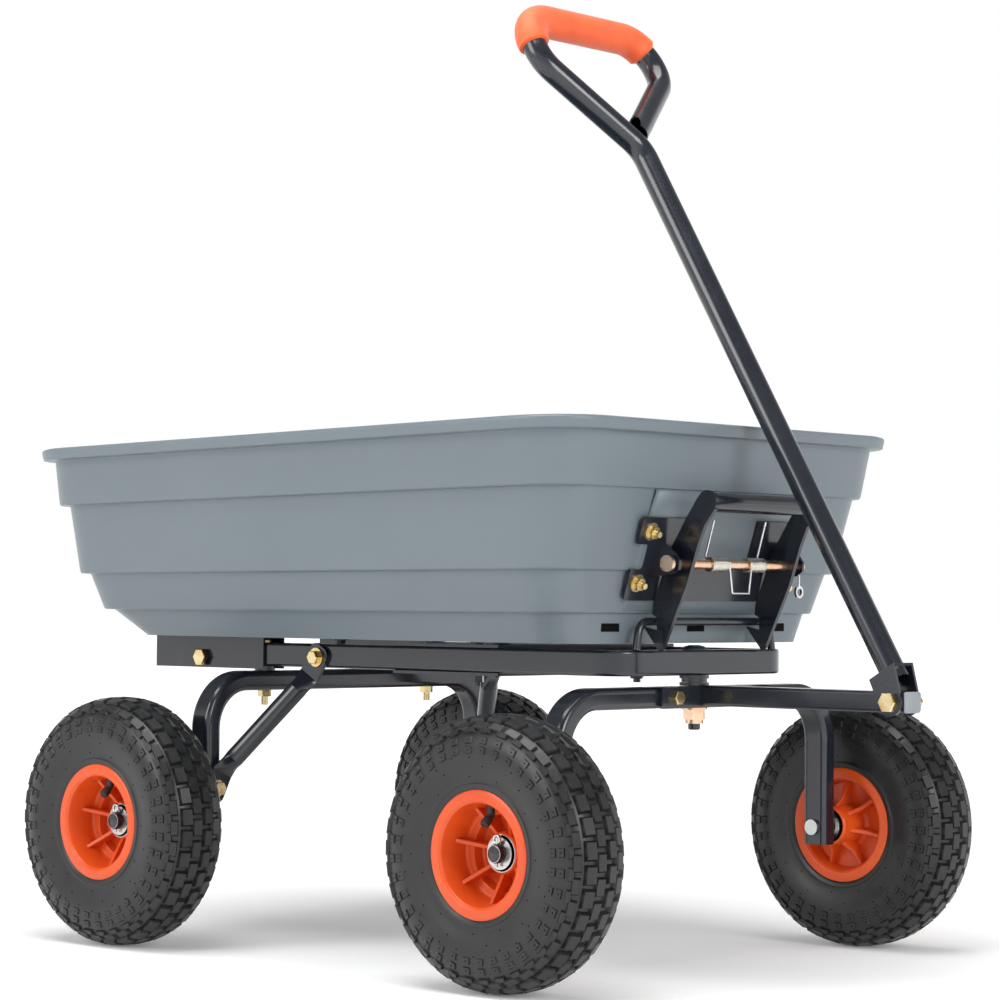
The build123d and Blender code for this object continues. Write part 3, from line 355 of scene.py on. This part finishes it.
def build_tyre(wheel):
    """Carcass with its bead, tread blocks, shoulder lugs and moulding nubs."""
    place = axle_place(wheel)
    bm = bmesh.new()
    dots = bmesh.new()
    revolve(bm, [(p.x, p.y) for p in carcass_line + inner_line], 144, place, closed=True)
    for height, wall_radius, shift, length, width, tall in TREAD_ROWS:
        point, normal = on_carcass(height * MM, wall_radius * MM)
        for k in range(TREAD_COUNT):
            angle = 2 * math.pi * (k + shift) / TREAD_COUNT
            radial = Vector((math.cos(angle), math.sin(angle), 0))
            centre = radial * point.x + Vector((0, 0, point.y))
            out = (radial * normal.x + Vector((0, 0, normal.y))).normalized()
            along = Vector((-math.sin(angle), math.cos(angle), 0))
            size = (length * MM, width * MM, tall * MM)
            add_block(bm, place, centre, out, along, size)
            if tall < DOT_HEIGHT:
                add_block(dots, place, centre + out * tall * MM, out, along, DOT_SIZE,
                          taper=0.6)
    for side in (-1, 1):
        for k in range(NUB_COUNT):
            angle = 2 * math.pi * (k + 0.3 * (k % 3)) / NUB_COUNT
            radial = Vector((math.cos(angle), math.sin(angle), 0))
            wall_radius = NUB_RADII[k % len(NUB_RADII)] * MM
            point, normal = on_carcass(side, wall_radius)
            add_block(dots, place, radial * point.x + Vector((0, 0, point.y)),
                      (radial * normal.x + Vector((0, 0, normal.y))).normalized(),
                      Vector((-math.sin(angle), math.cos(angle), 0)), NUB_SIZE, taper=0.5)
    finish_mesh("knobbly_tyre_" + wheel, bm, materials["tyre_rubber"],
                "wheel_" + wheel, ["tyre_" + wheel], smooth_angle=35)
    finish_mesh("tyre_dots_" + wheel, dots, materials["dot_black"],
                "wheel_" + wheel, smooth_angle=35)


# Closed section of the rim, each (radius, height across the wheel), in mm.
RIM_FACE = [(9.5, 1.2), (12.0, 2.0), (17.5, 2.0), (19.5, 0.6), (20.5, -4.0), (22.0, -11.0),
            (33.5, -11.0), (35.0, -9.5), (36.0, 0.0), (43.0, 1.0), (44.5, 3.0), (46.5, 28.0),
            (47.8, 32.5), (50.5, 34.6), (57.5, 34.6), (60.0, 33.4), (60.2, 31.2), (56.0, 30.6),
            (50.0, 30.0), (50.0, -30.0), (60.2, -31.2), (60.0, -33.4), (57.5, -34.6),
            (50.5, -34.6), (47.8, -32.5), (46.2, -26.0), (45.0, -17.0), (24.0, -17.0),
            (21.0, -20.0), (20.0, -52.0), (18.6, -54.0), (9.5, -54.0)]
RIB_COUNT = 7
RIB_HALF = 2.0 * MM
OUTER_RIB = ((18, -11.5), (18.6, -1.0), (44, 15.0), (46.5, 16.5), (46.5, -2), (36, -11.5))
INNER_RIB = ((19, -16.5), (19, -44), (30, -30), (46.5, -24.0), (46.5, -16.5))


def build_rim(wheel):
    """Moulded two-sided rim: stepped dish, offset hub and thin ribs."""
    place = axle_place(wheel)
    bm = bmesh.new()
    revolve(bm, [(r * MM, h * MM) for r, h in RIM_FACE], 96, place, closed=True)
    for k in range(RIB_COUNT):
        angle = 2 * math.pi * (k + 0.25) / RIB_COUNT
        radial = Vector((math.cos(angle), math.sin(angle), 0))
        across = Vector((-math.sin(angle), math.cos(angle), 0))
        for outline in (OUTER_RIB, INNER_RIB):
            loops = []
            for offset in (-RIB_HALF, RIB_HALF):
                loops.append([bm.verts.new(place @ (radial * r * MM + Vector((0, 0, h * MM))
                                                    + across * offset)) for r, h in outline])
            bm.faces.new(loops[0])
            bm.faces.new(loops[1][::-1])
            for j in range(len(outline)):
                n = (j + 1) % len(outline)
                bm.faces.new((loops[0][j], loops[0][n], loops[1][n], loops[1][j]))
    finish_mesh("moulded_rim_" + wheel, bm, materials["rim_orange"],
                "wheel_" + wheel, ["rim_" + wheel], smooth_angle=32, bevel=0.7 * MM)


VALVE_LINE = [Vector((0, 46.2, 16)) * MM, Vector((0, 36, 16)) * MM, Vector((0, 27, 25.5)) * MM]
VALVE_BEND = 6 * MM
CAP_LENGTH = 9
# The valve cap, each (distance along it, radius), in mm.
CAP_OUTLINE = [(0, 3.4), (0.4, 4.1), (1.2, 4.4), (7.5, 4.4), (8.6, 4.1), (9, 3.2)]


def build_valve(wheel):
    """Bent rubber valve stem with its knurled cap."""
    place = axle_place(wheel)
    bm = bmesh.new()
    line = [place @ p for p in rounded_path(VALVE_LINE, VALVE_BEND, 6)]
    sweep(bm, line, lambda i, s: circle((4.2 - 1.2 * s) * MM, 16))
    end = line[-1]
    direction = (line[-1] - line[-2]).normalized()
    cap = [end - direction * CAP_LENGTH * MM + direction * step * MM for step, _ in CAP_OUTLINE]
    sweep(bm, cap, lambda i, s: [(u * (1 + 0.05 * (j % 2)), v * (1 + 0.05 * (j % 2)))
                                 for j, (u, v) in enumerate(circle(CAP_OUTLINE[i][1] * MM, 32))])
    finish_mesh("valve_" + wheel, bm, materials["black_rubber"],
                "wheel_" + wheel, ["valve_stem_" + wheel], smooth_angle=40)


def build_axle_end(wheel):
    """Black domed end cap on the stub axle, inside the cotter pin."""
    place = axle_place(wheel)
    bm = bmesh.new()
    profile = [(0.0, 12.8), (6.0, 12.6), (8.2, 11.8), (9.0, 10.4), (9.0, 3.4)]
    revolve(bm, [(max(r, 0.05) * MM, h * MM) for r, h in profile], 40, place)
    body = "front_axle" if wheel.startswith("front") else "frame"
    finish_mesh("axle_cap_" + wheel, bm, materials["powder_coat"], body,
                smooth_angle=40)


for wheel in SIDES:
    build_tyre(wheel)
    build_rim(wheel)
    build_valve(wheel)
    build_axle_end(wheel)


# ---- tub -------------------------------------------------------------------------------------
AXLE_R = 8 * MM
REAR_AXLE_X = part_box("rear_axle_stubs")[0].x + AXLE_R

# Levels of the outer wall: height, rear x, front x from the rear axle, half width, corner
# radius and how softly the corner of the profile is rounded, all in mm.
TUB_LEVELS = [
    (321.5, -92, 541, 192, 44, 9), (350, -132, 543, 206, 46, 3), (350, -140, 547, 214, 46, 3.5),
    (390, -150, 557, 228, 50, 3), (390, -158, 561, 236, 50, 3.5), (466, -168, 582, 246, 55, 3),
    (466, -176, 586, 254, 55, 4), (516, -177.5, 595, 263.5, 62, 3),
    (516.5, -188.0, 606, 275, 69, 1.6), (527, -190.0, 608, 277, 70, 5),
    (529, -184.0, 602, 271, 66, 3), (527.5, -178, 596, 265, 62, 4),
    (470, -172, 582, 250, 51, 4), (470, -164, 578, 242, 51, 3), (394, -154, 557, 232, 46, 4),
    (394, -146, 553, 224, 46, 3), (354, -136, 543, 210, 42, 4), (354, -128, 539, 202, 42, 3),
    (325.5, -88, 537, 188, 40, 14),
]
RIM_RISE = math.tan(math.radians(1.0))
FOOT_Z = 321.5
TILT_HEIGHT = 200.0


def soften(levels, steps=4):
    """Round each corner of the profile by its own amount."""
    vectors = [(Vector(level[:3]), Vector(level[3:5]), level[5]) for level in levels]

    def mixed(a, b, share):
        return [a[0].lerp(b[0], share), a[1].lerp(b[1], share)]

    line = [[vectors[0][0], vectors[0][1]]]
    for i in range(1, len(vectors) - 1):
        before, here, after = vectors[i - 1:i + 2]
        reach = here[2]
        span_in = (here[0] - before[0]).length + abs(here[1].x - before[1].x)
        span_out = (here[0] - after[0]).length + abs(here[1].x - after[1].x)
        start = mixed(here, before, min(0.49, reach / max(span_in, 0.1)))
        end = mixed(here, after, min(0.49, reach / max(span_out, 0.1)))
        for s in range(steps + 1):
            t = s / steps
            line.append([(start[k] * (1 - t) ** 2 + here[k] * 2 * t * (1 - t) + end[k] * t ** 2)
                         for k in (0, 1)])
    line.append([vectors[-1][0], vectors[-1][1]])
    return line


def tub_ring(bm, level, corner_steps=10, side_steps=(26, 18)):
    """Rounded rectangle of one level, tilted with the rim the higher it is."""
    (z, rear, front), (half_y, corner) = level
    tilt = max(0.0, min(1.0, (z - FOOT_Z) / TILT_HEIGHT))
    middle = (rear + front) / 2
    points = []
    for cx, cy, start in ((front - corner, half_y - corner, 0),
                          (rear + corner, half_y - corner, 90),
                          (rear + corner, corner - half_y, 180),
                          (front - corner, corner - half_y, 270)):
        for s in range(corner_steps + 1):
            angle = math.radians(start + 90 * s / corner_steps)
            points.append((cx + corner * math.cos(angle), cy + corner * math.sin(angle)))
        divisions = side_steps[0] if start in (0, 180) else side_steps[1]
        nxt = {0: (rear + corner, half_y), 90: (rear, corner - half_y),
               180: (front - corner, -half_y), 270: (front, half_y - corner)}[start]
        last = points[-1]
        for s in range(1, divisions):
            share = s / divisions
            points.append((last[0] + (nxt[0] - last[0]) * share,
                           last[1] + (nxt[1] - last[1]) * share))
    return [bm.verts.new(Vector((REAR_AXLE_X + x * MM, y * MM,
                                 (z + (x - middle) * RIM_RISE * tilt) * MM)))
            for x, y in points]


def build_tub():
    """Stepped poly shell with a rolled lip, outside and inside in one skin."""
    bm = bmesh.new()
    rings = [tub_ring(bm, level) for level in soften(TUB_LEVELS)]
    for a, b in zip(rings, rings[1:]):
        for j in range(len(a)):
            n = (j + 1) % len(a)
            bm.faces.new((a[j], a[n], b[n], b[j]))
    bm.faces.new(rings[0])
    bm.faces.new(rings[-1])
    return finish_mesh("stepped_tub", bm, materials["tub_poly"], "tub", ["tub"],
                       smooth_angle=50)


# The front panel leans forward from its low edge to its high one, each (x, z) in mm.
PANEL_LOW = (549.0, 352.0)
PANEL_HIGH = (588.0, 470.0)


def panel_point(u, height, proud):
    """Point on the tub's sloping front panel."""
    share = (height - PANEL_LOW[1]) / (PANEL_HIGH[1] - PANEL_LOW[1])
    x = PANEL_LOW[0] + (PANEL_HIGH[0] - PANEL_LOW[0]) * share + proud
    return Vector((REAR_AXLE_X + x * MM, u * MM, height * MM))


def build_panel():
    """Raised trapezoid on the tub's front wall that carries the latch bracket."""
    bm = bmesh.new()
    rows = [(352, -3.0, 121), (354, 0.0, 119.5), (380, 0.0, 118), (410, 0.0, 116),
            (440, 0.0, 114), (468, 0.0, 112), (470.5, -3.0, 110.5)]
    columns = [-1.0, -0.985, -0.6, -0.2, 0.2, 0.6, 0.985, 1.0]
    grid = []
    for height, proud, half_u in rows:
        grid.append([bm.verts.new(panel_point(c * (half_u + 1), height,
                                              proud - (3.5 if abs(c) == 1.0 else 0)))
                     for c in columns])
    for a, b in zip(grid, grid[1:]):
        for j in range(len(columns) - 1):
            bm.faces.new((a[j], a[j + 1], b[j + 1], b[j]))
    return finish_mesh("front_panel", bm, materials["tub_poly"], "tub",
                       smooth_angle=60)


# The slots along the tub's foot are drawn as flat black plates, painted shade in place of their
# hollows.
RECESS_Y = (-131, 0, 131)
RECESS_X = 542.85
RECESS_DEPTH = 1.5 * MM


def build_painted_slot_shade():
    """Near-flush black plates where the tub's front wall has moulded slots along its foot: painted
    shade standing in for the slots' dark hollows.
    """
    bm = bmesh.new()
    for y in RECESS_Y:
        corners = [Vector((REAR_AXLE_X + RECESS_X * MM, (y + dy) * MM, z * MM))
                   for dy, z in ((-13, 333), (13, 333), (13, 341), (-13, 341))]
        back = [c - Vector((RECESS_DEPTH, 0, 0)) for c in corners]
        front = [bm.verts.new(c) for c in corners]
        rear = [bm.verts.new(c) for c in back]
        bm.faces.new(front)
        bm.faces.new(rear[::-1])
        for j in range(4):
            n = (j + 1) % 4
            bm.faces.new((front[j], rear[j], rear[n], front[n]))
    finish_mesh("painted_slot_shade", bm, materials["dot_black"], "tub", smooth_angle=30)


build_tub()
build_panel()
build_painted_slot_shade()


# ---- grip, spring and wire parts -------------------------------------------------------------
LEAN = math.radians(30.8)
UP = Vector((-math.sin(LEAN), 0, math.cos(LEAN)))
AHEAD = Vector((math.cos(LEAN), 0, math.sin(LEAN)))
PULL = Vector((REAR_AXLE_X + 788 * MM, 0, 270 * MM)) + AHEAD * 7.7 * MM
GRIP_R = 16.5
TUBE_R = 12.7
grip_low, grip_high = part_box("handle_grip")
LOOP_TOP = (grip_high.z / MM - GRIP_R - PULL.z / MM) / math.cos(LEAN)
LOOP_LEFT = grip_low.y / MM + GRIP_R
LOOP_RIGHT = grip_high.y / MM - GRIP_R
LOOP_BEND = 36.0


def on_handle(s, y):
    """Point in the handle's plane: s along it from the pivot, y to the left."""
    return PULL + UP * s * MM + Vector((0, y * MM, 0))


def build_grip():
    """Foam sleeve with soft ends over the top of the loop."""
    bm = bmesh.new()
    line = rounded_path([on_handle(LOOP_TOP - LOOP_BEND - 1, LOOP_LEFT),
                         on_handle(LOOP_TOP, LOOP_LEFT), on_handle(LOOP_TOP, LOOP_RIGHT),
                         on_handle(LOOP_TOP - LOOP_BEND - 1, LOOP_RIGHT)],
                        LOOP_BEND * MM, 14)[:-6]
    fine = []
    for a, b in zip(line, line[1:]):
        parts = max(1, int((b - a).length / (4 * MM)))
        fine += [a.lerp(b, k / parts) for k in range(parts)]
    fine.append(line[-1])

    def section(i, share):
        end = min(share, 1 - share) * 0.29 / (3.4 * MM)
        radius = TUBE_R + (GRIP_R - TUBE_R) * math.sqrt(max(0.0, 1 - max(0.0, 1 - end) ** 2))
        return circle(radius * MM, 36)

    sweep(bm, fine, section)
    finish_mesh("foam_grip", bm, materials["grip_orange"], "handle",
                ["handle_grip"], smooth_angle=50)


def wire(name, runs, radius, material, body, replaces=()):
    """Runs of round wire as one piece."""
    bm = bmesh.new()
    for run in runs:
        sweep(bm, run, lambda i, s: circle(radius * MM, 10))
    return finish_mesh(name, bm, materials[material], body, replaces, smooth_angle=50)


ROD_X = REAR_AXLE_X + 592 * MM
ROD_Z = 399 * MM
WIRE_R = 1.05
COIL_R = 6.45
COIL_TURNS = 11
COIL_STEPS = 20
COIL_FROM_Y = 17.0
COIL_TO_Y = 41.0
LOOP_Z = 371 * MM
LEG_TOP_Z = 442 * MM


def build_spring():
    """Double torsion spring: two wound coils on the rod, two legs and the middle loop."""
    runs = []
    for side in (-1, 1):
        coil = []
        steps = COIL_TURNS * COIL_STEPS
        for k in range(steps + 1):
            share = k / steps
            angle = 2 * math.pi * COIL_TURNS * share
            y = side * (COIL_FROM_Y + (COIL_TO_Y - COIL_FROM_Y) * share)
            coil.append(Vector((ROD_X + COIL_R * MM * math.cos(angle), y * MM,
                                ROD_Z + COIL_R * MM * math.sin(angle))))
        middle = [Vector((ROD_X + COIL_R * MM, side * 13.0 * MM, LOOP_Z)),
                  Vector((ROD_X + COIL_R * MM, side * COIL_FROM_Y * MM, ROD_Z - 4 * MM))]
        leg_foot = Vector((ROD_X - 5 * MM, side * COIL_TO_Y * MM, ROD_Z + 8 * MM))
        leg_top = Vector((ROD_X + 5.6 * MM, side * COIL_TO_Y * MM, LEG_TOP_Z))
        runs.append(middle + coil + [leg_foot, leg_top])
    runs.append([Vector((ROD_X + COIL_R * MM, -13.5 * MM, LOOP_Z)),
                 Vector((ROD_X + COIL_R * MM, 13.5 * MM, LOOP_Z))])
    wire("wound_spring", runs, WIRE_R, "bright_wire", "tub", ["torsion_spring"])
    sleeves = bmesh.new()
    for side in (-1, 1):
        place = Matrix(((1, 0, 0, ROD_X), (0, 0, 1, side * 29 * MM), (0, -1, 0, ROD_Z),
                        (0, 0, 0, 1)))
        revolve(sleeves, [(5.4 * MM, -13 * MM), (7.1 * MM, -13 * MM), (7.3 * MM, -12.6 * MM),
                          (7.3 * MM, 12.6 * MM), (7.1 * MM, 13 * MM), (5.4 * MM, 13 * MM)],
                48, place, closed=True)
    finish_mesh("spring_sleeves", sleeves, materials["pale_zinc"], "tub")


build_grip()
build_spring()


# ---- floor, light and camera -----------------------------------------------------------------
def build_floor():
    """Wide pale studio floor with a painted glow, weak near the cart and stronger further out, that
    lifts the floor towards white and lightens the cart's shadow on it.
    """
    bm = bmesh.new()
    corners = [bm.verts.new((x, y, 0)) for x, y in ((-30, -30), (30, -30), (30, 30), (-30, 30))]
    bm.faces.new(corners)
    mesh = bpy.data.meshes.new("floor")
    bm.to_mesh(mesh)
    bm.free()
    floor = bpy.data.objects.new("floor", mesh)
    bpy.context.scene.collection.objects.link(floor)
    glowing_paper = surface("glowing_paper", (0.86, 0.86, 0.86), (0.90, 0.90, 0.90), (0.8, 0.9), mottle=2.0,
                    grain=300, grain_depth=0.02, specular=0.2)
    shader = glowing_paper.node_tree.nodes["Principled BSDF"]
    # Painted light: the floor glows with emission from 0.15 near the middle to 0.85 five metres out,
    # so it reads whiter and its cast shadow is lightened.
    shader.inputs["Emission Color"].default_value = (1, 1, 1, 1)
    nodes, links = glowing_paper.node_tree.nodes, glowing_paper.node_tree.links
    coords = nodes.new("ShaderNodeTexCoord")
    away = nodes.new("ShaderNodeVectorMath")
    away.operation = "LENGTH"
    glow = nodes.new("ShaderNodeMapRange")
    glow.interpolation_type = "SMOOTHSTEP"
    glow.inputs["From Min"].default_value = 0.6
    glow.inputs["From Max"].default_value = 5.0
    glow.inputs["To Min"].default_value = 0.15
    glow.inputs["To Max"].default_value = 0.85
    links.new(coords.outputs["Object"], away.inputs[0])
    links.new(away.outputs["Value"], glow.inputs["Value"])
    links.new(glow.outputs["Result"], shader.inputs["Emission Strength"])
    floor.data.materials.append(glowing_paper)


def build_world():
    """White haze round the horizon that dims overhead."""
    world = bpy.data.worlds.new("studio")
    world.use_nodes = True
    nodes, links = world.node_tree.nodes, world.node_tree.links
    coords = nodes.new("ShaderNodeTexCoord")
    split = nodes.new("ShaderNodeSeparateXYZ")
    fade = nodes.new("ShaderNodeMapRange")
    fade.interpolation_type = "SMOOTHSTEP"
    fade.inputs["From Min"].default_value = 0.24
    fade.inputs["From Max"].default_value = 0.50
    fade.inputs["To Min"].default_value = 1.0
    fade.inputs["To Max"].default_value = 0.30
    links.new(coords.outputs["Generated"], split.inputs["Vector"])
    links.new(split.outputs["Z"], fade.inputs["Value"])
    links.new(fade.outputs["Result"], nodes["Background"].inputs["Strength"])
    nodes["Background"].inputs["Color"].default_value = (1, 1, 1, 1)
    bpy.context.scene.world = world


def area_light(name, place, target, size, power):
    """A square softbox aimed at a point."""
    light = bpy.data.lights.new(name, "AREA")
    light.size = size
    light.energy = power
    lamp = bpy.data.objects.new(name, light)
    lamp.location = place
    lamp.rotation_euler = (Vector(target) - Vector(place)).to_track_quat("-Z", "Y").to_euler()
    bpy.context.scene.collection.objects.link(lamp)


build_floor()
build_world()
middle = (0.1, 0, 0.4)
area_light("top_box", (0.0, -0.6, 3.2), middle, 2.4, 95)
area_light("key_box", (-1.0, -3.4, 2.0), middle, 1.8, 52)
area_light("edge_box", (3.6, -0.5, 1.7), middle, 1.5, 52)
bpy.context.scene.view_settings.view_transform = "Standard"

CAMERA_SPOT = Vector((REAR_AXLE_X + 2.401, -2.309, 0.363))
YAW = math.radians(47.384)
PITCH = math.radians(1.92)
ROLL = math.radians(0.468)
FOCAL = 107.0
look = Vector((-math.cos(YAW) * math.cos(PITCH), math.sin(YAW) * math.cos(PITCH), math.sin(PITCH)))
level_right = Vector((math.sin(YAW), math.cos(YAW), 0))
level_up = level_right.cross(look)
right = level_right * math.cos(ROLL) + level_up * math.sin(ROLL)
up = level_up * math.cos(ROLL) - level_right * math.sin(ROLL)
camera = bpy.data.objects.new("camera", bpy.data.cameras.new("camera"))
camera.data.lens = FOCAL
camera.data.sensor_width = 36.0
pose = Matrix((right, up, -look)).transposed().to_4x4()
pose.translation = CAMERA_SPOT
camera.matrix_world = pose
bpy.context.scene.collection.objects.link(camera)
bpy.context.scene.camera = camera
